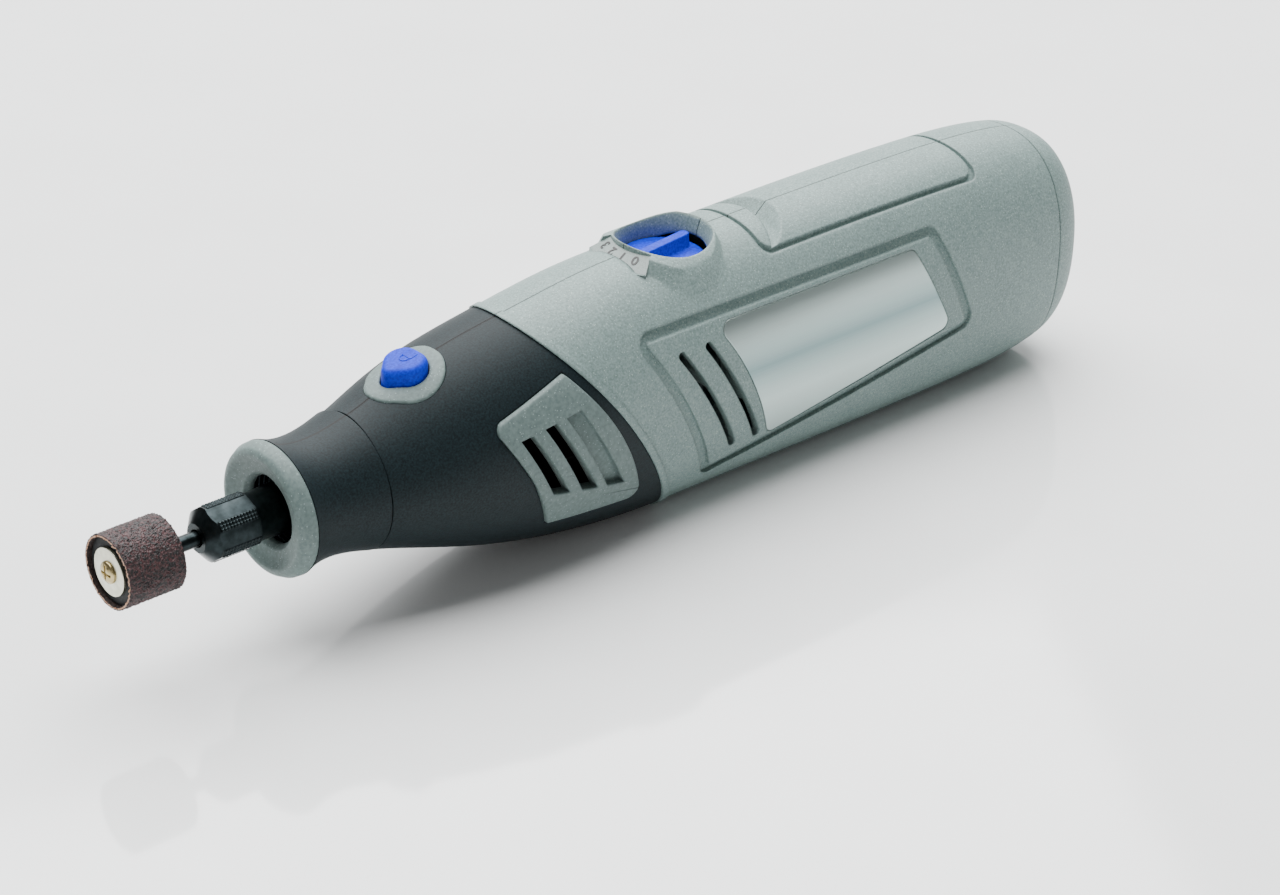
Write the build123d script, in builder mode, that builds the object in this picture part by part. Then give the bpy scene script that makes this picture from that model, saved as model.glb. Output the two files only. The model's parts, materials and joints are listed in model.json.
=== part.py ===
from build123d import *
import os
from math import cos, pi, sin

# A cordless rotary tool, built as the pieces that it comes apart into, in millimetres.
# Frame: +X runs from the nose to the tail, +Z is up, and the tool lies on the flat of its belly.
# Origin: on the surface under the belly, below the middle of the tool's length.
# A "station" is a distance behind the front face of the sanding drum. A "height" is over the spindle.

# ---- driving dimensions ----
LENGTH = 252.8  # from the screw in the drum to the dome of the tail
DRUM_FACE = 0.6  # the drum's face stands this far behind the head of its screw
SPINDLE_HEIGHT = 27.5  # spindle axis over the flat of the belly
WALL = 2.2  # housing wall
FIT = 0.3  # gap between pieces that move past each other
RUNNING_FIT = 0.04  # radial clearance of a shaft in its bush

DRUM_WIDTH = 12.7
DRUM_RADIUS = 7.65
BAND_INNER = 6.95
SHANK_RADIUS = 1.59
NUT_FLAT = 5.28  # spindle axis to a flat of the collet nut
NUT_ROUND = 5.6  # radius of the round stretches between the flats
NUT_TURN = 22.0  # degrees that the nut stands turned in the collet
NUT_FRONT = 20.0
NUT_SHOULDER = 31.5
NUT_BACK = 43.0

RING_FRONT = 35.0
CAP_FRONT = 38.7
CAP_BACK = 56.0

SPINDLE_RADIUS = 3.5
LOCK_STATION = 70.6
LOCK_DRUM_RADIUS = 6.0
LOCK_PIN_RADIUS = 1.4
BEARING_RADIUS = 9.5
BEARING_FRONT = 57.4
BEARING_WIDTH = 5.0
MOUNT_BACK = 62.6
MOUNT_RADIUS = 13.0
BUSH_FRONT = 79.5
BUSH_BACK = 85.5
BUSH_RADIUS = 7.0

FAN_FRONT = 97.5
FAN_RADIUS = 14.5
FAN_BLADES = 9
MOTOR_FRONT = 109.0
MOTOR_BACK = 149.0
MOTOR_RADIUS = 14.0
SHAFT_RADIUS = 1.6

DIAL_STATION = 137.5
DIAL_RADIUS = 8.9
DIAL_FLANGE = 9.9
DIAL_OPENING = 9.2
DIAL_UNDER = 22.0  # heights of the dial's underside and of its face
DIAL_FACE = 24.2
CRATER_RISE = 2.1  # the rim of the dial's crater over the body
DIAL_REST = 7.0  # degrees that the rib stands off the tool's length, at number 1

BAY_FRONT = 168.0
BAY_WIDTH = 17.0  # half width of the battery bay
BAY_HEIGHT = 23.4  # half height of the battery bay
CELL_RADIUS = 7.1
CELL_LENGTH = 28.5
BODY_BACK = 239.5
TAIL_BACK = LENGTH - DRUM_FACE

# The body: station, half width, rise over the axis, drop under it, and the power of its oval section.
BODY_SECTIONS = [
    (56.0, 14.4, 14.4, 14.4, 2.0),
    (65.0, 17.2, 17.6, 17.0, 2.0),
    (76.0, 19.5, 21.1, 20.5, 2.05),
    (90.0, 21.0, 23.7, 24.3, 2.1),
    (105.0, 21.3, 25.9, 26.9, 2.2),
    (120.0, 20.9, 27.5, 28.3, 2.3),
    (150.0, 20.3, 28.1, 28.6, 2.4),
    (185.0, 20.0, 28.2, 28.6, 2.5),
    (212.0, 19.8, 27.9, 28.4, 2.5),
    (230.0, 19.5, 26.9, 27.5, 2.5),
    (239.5, 19.0, 25.6, 26.0, 2.5),
]
TAIL_SECTIONS = [
    (239.8, 18.9, 25.5, 25.9, 2.5),
    (243.5, 18.2, 24.6, 24.8, 2.5),
    (248.0, 15.8, 21.8, 21.8, 2.4),
    (250.9, 11.6, 17.0, 17.0, 2.3),
    (TAIL_BACK, 7.0, 12.0, 12.0, 2.2),
]

# The joint between the dark front housing and the grey body is an arc in the side view.
JOINT_CENTRE = (-62.0, -117.3)
JOINT_RADIUS = 210.0
BEAD_WIDTH = 1.6
BEAD_RISE = 0.35
CROWN_ROUNDING = 0.15  # the oval's power is this much lower over the axis than under it

START_X = -LENGTH / 2 + DRUM_FACE
SIDE = Plane(origin=(START_X, 0, SPINDLE_HEIGHT), x_dir=(1, 0, 0), z_dir=(0, -1, 0))
SPIN = Axis((START_X, 0, SPINDLE_HEIGHT), (1, 0, 0))
os.makedirs("parts", exist_ok=True)


def across(station):
    """The plane square to the spindle at a station: local x is +Y and local y is +Z."""
    return Plane(origin=(START_X + station, 0, SPINDLE_HEIGHT), x_dir=(0, 1, 0), z_dir=(1, 0, 0))


def above(height):
    """The level plane at a height over the axis: local x is the station and local y is +Y."""
    return Plane(origin=(START_X, 0, SPINDLE_HEIGHT + height), x_dir=(1, 0, 0), z_dir=(0, 0, 1))


def upright(station):
    """The vertical axis through the spindle axis at a station."""
    return Axis((START_X + station, 0, 0), (0, 0, 1))


def turned(*outline, mode=Mode.ADD):
    """Turn a closed outline of (station, radius) points about the spindle axis, in the current part."""
    with BuildSketch(SIDE) as profile:
        with BuildLine():
            Polyline(*outline, close=True)
        make_face()
    revolve(profile.sketch, axis=SPIN, mode=mode)


def tube(front, back, outer, inner):
    """Turn a plain ring between two stations and two radii, in the current part."""
    turned((front, inner), (back, inner), (back, outer), (front, outer))


def disc(front, back, radius, mode=Mode.ADD):
    """Turn a plain disc between two stations, in the current part."""
    turned((front, 0), (back, 0), (back, radius), (front, radius), mode=mode)


def write(part, name):
    part.label = name
    export_step(part, f"parts/{name}.step")


def half_section(station, width, rise, drop, power):
    """The left half of the body's oval section, as a sketch closed on the parting plane."""
    steps = 12
    points = []
    for step in range(steps + 1):
        angle = pi * step / steps
        height = rise if step <= steps / 2 else drop
        shape = power - CROWN_ROUNDING if step <= steps / 2 else power
        side = sin(angle) ** (2 / shape)
        up = abs(cos(angle)) ** (2 / shape)
        points.append((-width * side, height * up if step <= steps / 2 else -height * up))
    with BuildSketch(across(station)) as section:
        with BuildLine():
            Spline(*points, tangents=[(-1, 0), (1, 0)], tangent_scalars=[1, 1])
            Line(points[-1], points[0])
        make_face()
    return section.sketch


def half_loft(sections, inset):
    """The left half of a body lofted through oval sections, every section drawn in by the inset."""
    faces = []
    for station, width, rise, drop, power in sections:
        faces.append(half_section(station, width - inset, rise - inset, drop - inset, power))
    with BuildPart() as half:
        loft(sections=faces)
    return half.part


def bay_half(front, back, width, height):
    """The left half of a straight oval prism along the tool."""
    with BuildPart() as prism:
        extrude(half_section(front, width, height, height, 2.5), amount=back - front)
    return prism.part


def both_sides(left, name):
    """Write the left half and its mirror image as two pieces."""
    write(left, f"{name}_left")
    write(mirror(left, about=Plane.XZ), f"{name}_right")


def front_side(radius):
    """A slab across the whole tool, in front of an arc about the joint's centre."""
    with BuildPart() as slab:
        with BuildSketch(SIDE):
            with Locations(JOINT_CENTRE):
                Circle(radius)
        extrude(amount=40, both=True)
    return slab.part


outer = half_loft(BODY_SECTIONS, 0)
proud = half_loft(BODY_SECTIONS, -BEAD_RISE)
groove_floor = half_loft(BODY_SECTIONS, 0.9)
slot_floor = half_loft(BODY_SECTIONS, 0.45)
inner = half_loft(BODY_SECTIONS, WALL)
vent_skin = half_loft(BODY_SECTIONS, -0.8)
crater_skin = half_loft(BODY_SECTIONS, -CRATER_RISE)
bay = bay_half(BAY_FRONT, BODY_BACK + 1, BAY_WIDTH, BAY_HEIGHT)
dark_side = front_side(JOINT_RADIUS)
bead_side = front_side(JOINT_RADIUS + BEAD_WIDTH)

with BuildPart() as keel:
    with BuildSketch(Plane.XY):
        Rectangle(2 * LENGTH, 100)
    extrude(amount=-20)

with BuildPart() as room:
    with BuildSketch(across(MOUNT_BACK)):
        Rectangle(100, 100)
    extrude(amount=BAY_FRONT - MOUNT_BACK)
cavity = (inner & room.part) + bay


# ---- outlines in the side view ----
def vent_outline(grow):
    """The four-cornered vent insert, its back edge in line with the joint between the housings."""
    with BuildSketch(SIDE) as outline:
        with BuildLine():
            Polyline((115.4, -16.2), (91.6, -14.6), (86.2, -2.6), (78.2, 10.8), (97.0, 16.4))
            ThreePointArc((97.0, 16.4), (108.4, 0.4), (115.4, -16.2))
        make_face()
        fillet(outline.vertices().group_by(Axis.X)[0], 2.0)
        fillet(outline.vertices().group_by(Axis.X)[-1], 2.4)
        offset(amount=grow, kind=Kind.INTERSECTION)
    return outline.sketch


def panel_outline(grow):
    """The long side panel, its front edge in line with the joint between the housings."""
    with BuildSketch(SIDE) as outline:
        with BuildLine():
            Polyline((134.6, -19.4), (212.6, -7.2), (200.6, 18.6), (113.6, 18.6))
            ThreePointArc((113.6, 18.6), (125.2, 0.0), (134.6, -19.4))
        make_face()
        fillet(outline.vertices(), 3.0)
        offset(amount=grow, kind=Kind.INTERSECTION)
    return outline.sketch


def label_outline(grow):
    """The label plate inside the side panel."""
    with BuildSketch(SIDE) as outline:
        with BuildLine():
            Polyline((151.4, -14.2), (204.6, -5.2), (193.6, 15.4), (136.4, 15.4))
            ThreePointArc((136.4, 15.4), (145.0, 1.0), (151.4, -14.2))
        make_face()
        fillet(outline.vertices(), 2.0)
        offset(amount=grow, kind=Kind.INTERSECTION)
    return outline.sketch


def slanting_slot(front, width, top, bottom):
    """A slot between two arcs about the joint's centre, cut off level at its top and bottom."""
    with BuildSketch(SIDE) as slot:
        with Locations(JOINT_CENTRE):
            Circle(front + width)
            Circle(front, mode=Mode.SUBTRACT)
        with Locations((100, (top + bottom) / 2)):
            Rectangle(160, top - bottom, mode=Mode.INTERSECT)
        fillet(slot.vertices().group_by(Axis.Z)[-1], 0.45 * width)
    return slot.sketch


# ---- shared tools for the housings ----
POST_RADIUS = 4.2
SCREW_RADIUS = 1.3
SCREW_HEAD = 2.6
SCREW_SEAT = 7.0  # the screws' heads sit this far to the right of the parting plane
SCREW_REACH = 8.0  # the screws' tips end this far to the left of it
FRONT_SCREWS = [(89.8, 15.6), (93.0, -17.6)]
REAR_SCREWS = [(160.0, 20.0), (160.0, -20.0)]

with BuildPart() as left_room:
    with BuildSketch(SIDE):
        Rectangle(3 * LENGTH, 200)
    extrude(amount=60)


def post_blocks(places):
    """Screw posts from the parting plane out through the left side."""
    with BuildPart() as posts:
        with BuildSketch(SIDE):
            with Locations(places):
                Circle(POST_RADIUS)
        extrude(amount=30)
    return posts.part


def screw_pilots(places):
    """Blind screw holes to the left of the parting plane."""
    with BuildPart() as holes:
        with BuildSketch(SIDE):
            with Locations(places):
                Circle(SCREW_RADIUS)
        extrude(amount=SCREW_REACH)
    return holes.part


def screw_seats(places):
    """Screw holes to the right of the parting plane, with a deep seat for each head."""
    with BuildPart() as holes:
        with BuildSketch(SIDE):
            with Locations(places):
                Circle(SCREW_RADIUS)
        extrude(amount=-SCREW_SEAT)
        with BuildSketch(SIDE.offset(-SCREW_SEAT)):
            with Locations(places):
                Circle(SCREW_HEAD + 0.2)
        extrude(amount=-30)
    return holes.part


def bulkhead(front, back, bore, top):
    """The left half of a wall across the housing, with a round bore and a level top."""
    with BuildPart() as wall:
        with BuildSketch(across(front)):
            with Locations((-20, (top - 30) / 2)):
                Rectangle(40, top + 30)
            Circle(bore, mode=Mode.SUBTRACT)
        extrude(amount=back - front)
    return wall.part


def lock_outline(height, grow):
    """The egg shape of the lock button, its narrow end towards the nose."""
    with BuildSketch(above(height)) as outline:
        with Locations((LOCK_STATION - 3.2, 0)):
            Circle(2.4 + grow)
        with Locations((LOCK_STATION - 0.2, 1.0), (LOCK_STATION - 0.2, -1.0)):
            Circle(3.8 + grow)
        make_hull()
    return outline.sketch


def dial_turned(outline, arc=360.0):
    """Turn an outline of (distance in front of the dial's axis, height) points about that axis."""
    with BuildSketch(SIDE) as profile:
        with BuildLine():
            Polyline(*[(DIAL_STATION - reach, height) for reach, height in outline], close=True)
        make_face()
    with BuildPart() as piece:
        revolve(profile.sketch, axis=upright(DIAL_STATION), revolution_arc=arc)
    return piece.part.rotate(upright(DIAL_STATION), -arc / 2)


# ---- front housing ----
SHELF_TOP = 9.6  # the lock's spring stands on this shelf
SHELF_THICKNESS = 1.2
FLANGE_GROWTH = 3.4  # the surround's flange stands this far outside the button

with BuildPart() as vent_hole:
    extrude(vent_outline(0.15), amount=30)

with BuildPart() as lock_hole:
    extrude(lock_outline(12.0, FLANGE_GROWTH + 0.1), amount=20)

with BuildPart() as lock_shelf:
    with BuildSketch(above(SHELF_TOP)):
        with Locations((LOCK_STATION + 1.5, -15)):
            Rectangle(11.0, 30)
        with Locations((LOCK_STATION, 0)):
            Circle(LOCK_PIN_RADIUS + FIT, mode=Mode.SUBTRACT)
    extrude(amount=-SHELF_THICKNESS)

front_ribs = bulkhead(BUSH_FRONT, BUSH_BACK, BUSH_RADIUS, 30) + lock_shelf.part
front_ribs = front_ribs + post_blocks(FRONT_SCREWS)
with BuildPart() as front_housing:
    add(outer & dark_side)
    add(cavity, mode=Mode.SUBTRACT)
    disc(55.0, MOUNT_BACK + 0.4, MOUNT_RADIUS, mode=Mode.SUBTRACT)
    add(front_ribs & inner)
    add(vent_hole.part, mode=Mode.SUBTRACT)
    add(lock_hole.part, mode=Mode.SUBTRACT)
    add(keel.part, mode=Mode.SUBTRACT)
write(front_housing.part - screw_pilots(FRONT_SCREWS), "front_housing_left")
write(mirror(front_housing.part, about=Plane.XZ) - screw_seats(FRONT_SCREWS), "front_housing_right")

# ---- the dial's crater: its rim follows the curve of the body, with a sloping lip towards the nose ----
PLATE_ARC = 70.0
CRATER_LEAD = 2.0  # the crater is drawn out this far towards the nose
PLATE_THICKNESS = 0.7

cone = dial_turned([(0, 18), (16.0, 18), (14.2, 22.0), (10.2, 30.0), (0, 34)])
cone = cone + Pos(-CRATER_LEAD, 0, 0) * cone
crater = cone & left_room.part & crater_skin
lip = dial_turned([(8, 18), (15.2, 18), (15.2, 26.46), (10.0, 29.3), (9.2, 29.5), (8, 29.0)], PLATE_ARC)
lip = lip & left_room.part
crater_bore = dial_turned([
    (0, 10),
    (DIAL_FLANGE + 0.4, 10),
    (DIAL_FLANGE + 0.4, DIAL_UNDER + 1.3),
    (DIAL_OPENING, DIAL_UNDER + 1.3),
    (DIAL_OPENING, 26.0),
    (DIAL_OPENING + 0.5, 27.8),
    (DIAL_OPENING + 1.8, 31.0),
    (0, 34.0),
])
number_plate = dial_turned([
    (10.8, 28.86),
    (15.0, 26.57),
    (15.0, 26.57 - PLATE_THICKNESS),
    (10.8, 28.86 - PLATE_THICKNESS),
], PLATE_ARC)
over_plate = dial_turned([(10.8, 28.86), (18.0, 24.93), (18.0, 34.0), (10.8, 34.0)], PLATE_ARC)

# ---- the top panel: a grooved outline, with a deep crescent trough behind the dial ----
PANEL_FRONT = 155.0
PANEL_BACK = 218.0
PANEL_SIDE = 12.0
TROUGH_REACH = 23.0


def top_panel_outline(grow):
    with BuildSketch(above(15.0)) as outline:
        with Locations(((PANEL_FRONT + PANEL_BACK) / 2, 0)):
            Rectangle(PANEL_BACK - PANEL_FRONT + 2 * grow, 2 * (PANEL_SIDE + grow))
        fillet(outline.vertices(), 2.5)
    return outline.sketch


with BuildPart() as top_groove:
    extrude(top_panel_outline(0.5), amount=20)
    extrude(top_panel_outline(-0.5), amount=20, mode=Mode.SUBTRACT)

trough = dial_turned([
    (-TROUGH_REACH, 30.0),
    (-TROUGH_REACH, 24.0),
    (-TROUGH_REACH - 1.5, 24.4),
    (-TROUGH_REACH - 8.0, 30.0),
], 66.0)
trough = trough & left_room.part
trough_backing = dial_turned([
    (-TROUGH_REACH + 2.5, 30.0),
    (-TROUGH_REACH + 2.5, 21.5),
    (-TROUGH_REACH - 9.5, 21.5),
    (-TROUGH_REACH - 9.5, 30.0),
], 76.0) & left_room.part

# ---- rear housing ----
with BuildPart() as panel_moat:
    extrude(panel_outline(0), amount=30)
    extrude(panel_outline(-2.2), amount=30, mode=Mode.SUBTRACT)

with BuildPart() as label_seat:
    extrude(label_outline(0.15), amount=30)

with BuildPart() as side_slots:
    extrude(slanting_slot(227.4, 1.9, 12.8, -13.4), amount=30)
    extrude(slanting_slot(233.5, 1.9, 12.8, -13.4), amount=30)

rear_ribs = bulkhead(131.0, 133.5, MOTOR_RADIUS, 14.4) + bulkhead(142.0, 144.5, MOTOR_RADIUS, 14.4)
rear_ribs = rear_ribs + post_blocks(REAR_SCREWS)
with BuildPart() as rear_housing:
    add(outer - bead_side)
    add((proud & bead_side) - dark_side)
    add(crater)
    add(lip - over_plate)
    add(over_plate - outer, mode=Mode.SUBTRACT)
    add(cavity, mode=Mode.SUBTRACT)
    add((rear_ribs + trough_backing) & inner)
    add(crater_bore, mode=Mode.SUBTRACT)
    add(number_plate, mode=Mode.SUBTRACT)
    add(top_groove.part - groove_floor, mode=Mode.SUBTRACT)
    add(trough, mode=Mode.SUBTRACT)
    add(panel_moat.part - groove_floor, mode=Mode.SUBTRACT)
    add(label_seat.part - slot_floor, mode=Mode.SUBTRACT)
    add(side_slots.part, mode=Mode.SUBTRACT)
    add(keel.part, mode=Mode.SUBTRACT)
write(rear_housing.part - screw_pilots(REAR_SCREWS), "rear_housing_left")
write(mirror(rear_housing.part, about=Plane.XZ) - screw_seats(REAR_SCREWS), "rear_housing_right")
write(number_plate, "number_plate")

# ---- plates and inserts in the housings ----
with BuildPart() as label_plate:
    extrude(label_outline(0), amount=30)
    add(outer, mode=Mode.INTERSECT)
    add(slot_floor, mode=Mode.SUBTRACT)
both_sides(label_plate.part, "label_plate")

VENT_TOP = (7.4, 0.145)  # height of the bars' top line at the first bar, and its climb per millimetre
VENT_BOTTOM = (-6.5, -0.2)
VENT_BARS = [(83.4, 86.3, 90.8, 95.0), (89.3, 92.1, 98.2, 102.4), (94.5, 98.4, 104.9, 109.6)]


def vent_bar(top_front, top_back, bottom_front, bottom_back):
    """A slanting gap between two bars of the vent."""
    first_top, first_bottom = VENT_BARS[0][0], VENT_BARS[0][2]
    with BuildSketch(SIDE) as gap:
        with BuildLine():
            Polyline(
                (top_front, VENT_TOP[0] + VENT_TOP[1] * (top_front - first_top)),
                (top_back, VENT_TOP[0] + VENT_TOP[1] * (top_back - first_top)),
                (bottom_back, VENT_BOTTOM[0] + VENT_BOTTOM[1] * (bottom_back - first_bottom)),
                (bottom_front, VENT_BOTTOM[0] + VENT_BOTTOM[1] * (bottom_front - first_bottom)),
                close=True,
            )
        make_face()
    with BuildPart() as block:
        extrude(gap.sketch, amount=30)
    return block.part


with BuildPart() as vent_grille:
    extrude(vent_outline(0), amount=30)
    add(vent_skin, mode=Mode.INTERSECT)
    add(inner, mode=Mode.SUBTRACT)
    add(vent_bar(*VENT_BARS[0]), mode=Mode.SUBTRACT)
    add(vent_bar(*VENT_BARS[1]), mode=Mode.SUBTRACT)
    add(vent_bar(*VENT_BARS[2]) - groove_floor, mode=Mode.SUBTRACT)
both_sides(vent_grille.part, "vent_grille")

# ---- the lock: surround, button, pin and spring ----
BUTTON_FLANGE = 12.6  # underside of the button's flange, over the spindle axis
BUTTON_TOP = 22.3
BUTTON_SLOPE = 12.0  # degrees that the button's top leans with the body
COLLAR_TOP = 20.9

with BuildPart() as over_collar:
    with BuildSketch(SIDE):
        with Locations(Location((LOCK_STATION, COLLAR_TOP, 0), (0, 0, BUTTON_SLOPE))):
            Rectangle(60, 20, align=(Align.CENTER, Align.MIN))
    extrude(amount=30, both=True)

with BuildPart() as over_button:
    with BuildSketch(SIDE):
        with Locations(Location((LOCK_STATION, BUTTON_TOP, 0), (0, 0, BUTTON_SLOPE))):
            Rectangle(60, 20, align=(Align.CENTER, Align.MIN))
    extrude(amount=30, both=True)

with BuildPart() as surround_flange:
    extrude(lock_outline(12.0, FLANGE_GROWTH), amount=20)
    add(left_room.part, mode=Mode.INTERSECT)
    add(proud, mode=Mode.INTERSECT)
    add(inner, mode=Mode.SUBTRACT)
flange = surround_flange.part + mirror(surround_flange.part, about=Plane.XZ)

with BuildPart() as lock_surround:
    loft(sections=[lock_outline(14.0, 3.1), lock_outline(24.0, 1.2)])
    add(over_collar.part, mode=Mode.SUBTRACT)
    fillet(lock_surround.faces().sort_by(Axis.Z)[-1].edges(), 1.0)
    add(mirror(inner, about=Plane.XZ) + inner, mode=Mode.SUBTRACT)
    add(flange)
    extrude(lock_outline(10.0, FIT), amount=20, mode=Mode.SUBTRACT)
write(lock_surround.part, "lock_surround")

with BuildPart() as lock_button:
    extrude(lock_outline(BUTTON_FLANGE, 0.9), amount=1.4)
    extrude(lock_outline(BUTTON_FLANGE, 0), amount=14)
    add(over_button.part, mode=Mode.SUBTRACT)
    fillet(lock_button.faces().sort_by(Axis.Z)[-1].edges(), 1.4)
write(lock_button.part, "lock_button")

with BuildPart() as lock_pin:
    with BuildSketch(above(LOCK_DRUM_RADIUS + 0.5)):
        with Locations((LOCK_STATION, 0)):
            Circle(LOCK_PIN_RADIUS)
    extrude(amount=BUTTON_FLANGE - LOCK_DRUM_RADIUS - 0.5)
write(lock_pin.part, "lock_pin")

SPRING_WIRE = 0.2
SPRING_RADIUS = 2.4
with BuildPart() as lock_spring:
    spring_foot = (START_X + LOCK_STATION, 0, SPINDLE_HEIGHT + SHELF_TOP + SPRING_WIRE + 0.02)
    with BuildLine(Plane(spring_foot)) as coil:
        Helix(0.85, BUTTON_FLANGE - SHELF_TOP - 2 * SPRING_WIRE - 0.04, SPRING_RADIUS)
    with BuildSketch(Plane(coil.line @ 0, z_dir=coil.line % 0)):
        Circle(SPRING_WIRE)
    sweep(is_frenet=True)
write(lock_spring.part, "lock_spring")

# ---- the speed dial and what it turns ----
RIB_TOP = 27.2
SWITCH_TOP = 21.4
BOARD_UNDER = 17.0
BOARD_TOP = 18.6

with BuildPart() as speed_dial:
    with BuildSketch(above(DIAL_UNDER)):
        with Locations((DIAL_STATION, 0)):
            Circle(DIAL_FLANGE)
    extrude(amount=1.0)
    with BuildSketch(above(DIAL_UNDER)):
        with Locations((DIAL_STATION, 0)):
            Circle(DIAL_RADIUS)
    extrude(amount=DIAL_FACE - DIAL_UNDER)
    with BuildSketch(above(DIAL_FACE - 0.5)):
        with Locations(Location((DIAL_STATION, 0, 0), (0, 0, DIAL_REST))):
            SlotOverall(15.4, 2.8)
    extrude(amount=RIB_TOP - DIAL_FACE + 0.5, taper=4)
write(speed_dial.part, "speed_dial")

with BuildPart() as dial_shaft:
    with BuildSketch(above(19.6)):
        with Locations((DIAL_STATION, 0)):
            Circle(2.0)
    extrude(amount=DIAL_UNDER - 19.6)
write(dial_shaft.part, "dial_shaft")

with BuildPart() as dial_switch:
    with BuildSketch(above(BOARD_TOP)):
        with Locations((DIAL_STATION, 0)):
            Rectangle(17, 15)
    extrude(amount=SWITCH_TOP - BOARD_TOP)
    with BuildSketch(above(19.4)):
        with Locations((DIAL_STATION, 0)):
            Circle(2.0 + RUNNING_FIT)
    extrude(amount=5, mode=Mode.SUBTRACT)
write(dial_switch.part, "dial_switch")

with BuildPart() as circuit_board:
    with BuildSketch(above(BOARD_UNDER)):
        with Locations((DIAL_STATION - 0.5, 0)):
            RectangleRounded(34, 19, 1.5)
    extrude(amount=BOARD_TOP - BOARD_UNDER)
write(circuit_board.part, "circuit_board")

# ---- nose ----
NOSE_HOLE = 7.0
THREAD_RADIUS = 9.6
with BuildPart() as nose_ring:
    turned(
        (RING_FRONT, 11.6),
        (RING_FRONT + 0.5, 12.9),
        (RING_FRONT + 2.2, 13.8),
        (CAP_FRONT, 13.9),
        (CAP_FRONT, NOSE_HOLE),
        (RING_FRONT + 2.6, NOSE_HOLE),
        (RING_FRONT + 1.6, NOSE_HOLE + 0.9),
        (RING_FRONT + 1.1, 10.2),
    )
write(nose_ring.part, "nose_ring")

with BuildPart() as nose_cap:
    with BuildSketch(SIDE) as cap_profile:
        with BuildLine():
            Polyline((CAP_BACK - FIT, 14.4), (CAP_BACK - FIT, THREAD_RADIUS + FIT),
                     (CAP_FRONT, THREAD_RADIUS + FIT), (CAP_FRONT, 13.9))
            Spline((CAP_FRONT, 13.9), (43.5, 12.7), (49.0, 12.9), (CAP_BACK - FIT, 14.4))
        make_face()
    revolve(axis=SPIN)
write(nose_cap.part, "nose_cap")

with BuildPart() as nose_mount:
    turned(
        (44.8, 6.6),
        (BEARING_FRONT, 6.6),
        (BEARING_FRONT, BEARING_RADIUS),
        (MOUNT_BACK, BEARING_RADIUS),
        (MOUNT_BACK, MOUNT_RADIUS),
        (CAP_BACK + FIT, MOUNT_RADIUS),
        (CAP_BACK + FIT, THREAD_RADIUS),
        (44.8, THREAD_RADIUS),
    )
write(nose_mount.part, "nose_mount")

# ---- spindle and bearings ----
RACE_INNER = 5.2
RACE_OUTER = 7.9
BALL_RADIUS = 1.3
BALL_CIRCLE = 6.52
BEARING_BACK = BEARING_FRONT + BEARING_WIDTH

with BuildPart() as front_bearing_outer:
    tube(BEARING_FRONT, BEARING_BACK, BEARING_RADIUS, RACE_OUTER)
write(front_bearing_outer.part, "front_bearing_outer")

with BuildPart() as front_bearing_inner:
    tube(BEARING_FRONT, BEARING_BACK, RACE_INNER, SPINDLE_RADIUS)
write(front_bearing_inner.part, "front_bearing_inner")

with BuildPart() as front_bearing_balls:
    with Locations(across((BEARING_FRONT + BEARING_BACK) / 2)):
        with PolarLocations(BALL_CIRCLE, 9):
            Sphere(BALL_RADIUS)
write(front_bearing_balls.part, "front_bearing_balls")

with BuildPart() as rear_bearing:
    tube(BUSH_FRONT, BUSH_BACK, BUSH_RADIUS, SPINDLE_RADIUS + RUNNING_FIT)
write(rear_bearing.part, "rear_bearing")

with BuildPart() as spindle:
    turned(
        (29.0, 2.56),
        (29.0, SPINDLE_RADIUS),
        (53.5, SPINDLE_RADIUS),
        (53.5, 4.8),
        (BEARING_FRONT, 4.8),
        (BEARING_FRONT, SPINDLE_RADIUS),
        (BEARING_BACK + 2.0, SPINDLE_RADIUS),
        (BEARING_BACK + 2.0, LOCK_DRUM_RADIUS),
        (75.0, LOCK_DRUM_RADIUS),
        (75.0, SPINDLE_RADIUS),
        (91.0, SPINDLE_RADIUS),
        (91.0, 0),
        (52.0, 0),
        (52.0, 1.75),
        (45.0, 1.75),
        (45.0, 2.56),
    )
    with BuildSketch(above(0), SIDE):
        with Locations((LOCK_STATION, 0)):
            Circle(LOCK_PIN_RADIUS + FIT)
    extrude(amount=LOCK_DRUM_RADIUS + 1, both=True, mode=Mode.SUBTRACT)
write(spindle.part, "spindle")

with BuildPart() as collet:
    turned((24.8, SHANK_RADIUS), (24.8, 1.85), (26.6, 2.55), (44.5, 2.55), (44.5, SHANK_RADIUS))
    with BuildSketch(across(24.0)):
        Rectangle(6, 0.5)
        Rectangle(0.5, 6)
    extrude(amount=14, mode=Mode.SUBTRACT)
write(collet.part, "collet")

with BuildPart() as collet_nut:
    with BuildSketch(across(NUT_FRONT)):
        RegularPolygon(NUT_FLAT, 6, major_radius=False, rotation=NUT_TURN)
    extrude(amount=NUT_SHOULDER - NUT_FRONT)
    with BuildSketch(SIDE) as nut_limit:
        with BuildLine():
            Polyline((NUT_FRONT, 0), (NUT_FRONT, 3.0), (NUT_FRONT + 2.2, NUT_ROUND), (NUT_SHOULDER, NUT_ROUND),
                     (NUT_SHOULDER, 0), close=True)
        make_face()
    revolve(nut_limit.sketch, axis=SPIN, mode=Mode.INTERSECT)
    turned((NUT_SHOULDER, 0), (NUT_SHOULDER, 5.2), (34.0, 4.9), (39.5, 5.2), (NUT_BACK, 5.5), (NUT_BACK, 0))
    turned((NUT_FRONT, 0), (NUT_FRONT, 1.85), (24.8, 1.85), (26.6, SPINDLE_RADIUS), (NUT_BACK, SPINDLE_RADIUS),
           (NUT_BACK, 0), mode=Mode.SUBTRACT)
write(collet_nut.part, "collet_nut")

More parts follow.
